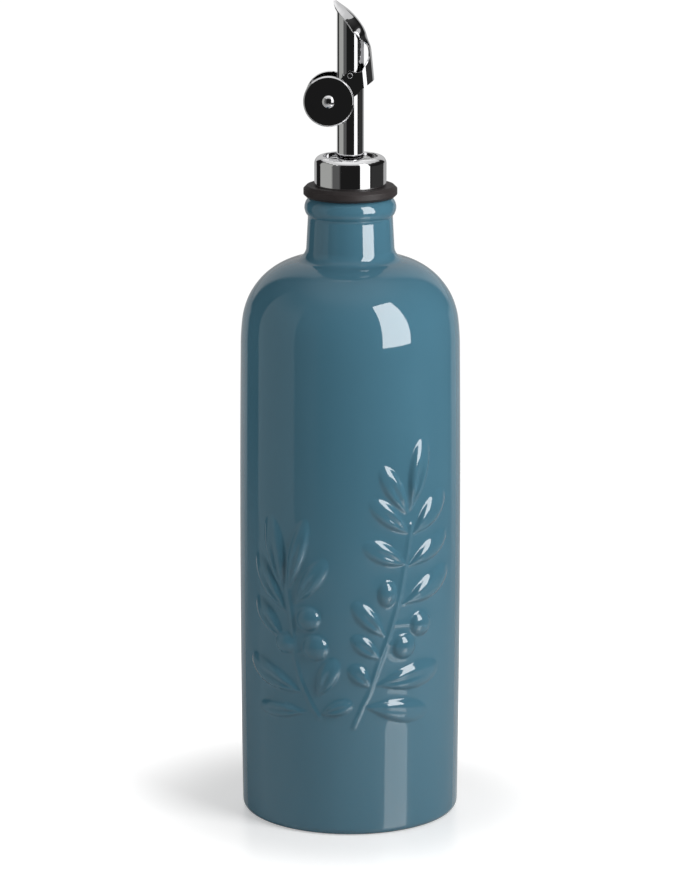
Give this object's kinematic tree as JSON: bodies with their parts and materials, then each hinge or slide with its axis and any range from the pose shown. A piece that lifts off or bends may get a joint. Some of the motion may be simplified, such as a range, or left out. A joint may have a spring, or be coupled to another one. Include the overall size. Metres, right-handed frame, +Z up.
{
  "type": "oil dispenser bottle",
  "caption": "Glazed ceramic cooking-oil bottle with raised olive sprigs and a metal pourer whose weighted flap opens over the slanted spout.",
  "frame": {"origin": "centre of the foot, on the surface it stands on", "axes": "+Z up along the bottle; the spout tip leans towards -X; the flap's hinge axis is along Y; the raised sprigs face -Y"},
  "size_m": [0.079, 0.0798, 0.2932],
  "materials": {
    "glaze": "glossy teal-blue glaze over stoneware",
    "rubber": "matt dark brown rubber",
    "polished_metal": "mirror-polished stainless steel",
    "weight_metal": "mirror-polished stainless steel"
  },
  "bodies": {
    "bottle_and_pourer": {"bottle": "glaze", "stopper": "rubber", "cap": "polished_metal", "spout": "polished_metal", "pivot_stud_front": "polished_metal", "pivot_stud_rear": "polished_metal"},
    "flap": {"flap": "polished_metal", "weight_front": "weight_metal", "weight_rear": "weight_metal", "weight_pin": "polished_metal"}
  },
  "joints": [
    {"name": "flap_hinge", "type": "hinge", "parent": "bottle_and_pourer", "child": "flap", "pos_m": [0.0002, 0, 0.26779], "axis": [0, 1, 0], "range_deg": [0, 35]}
  ]
}
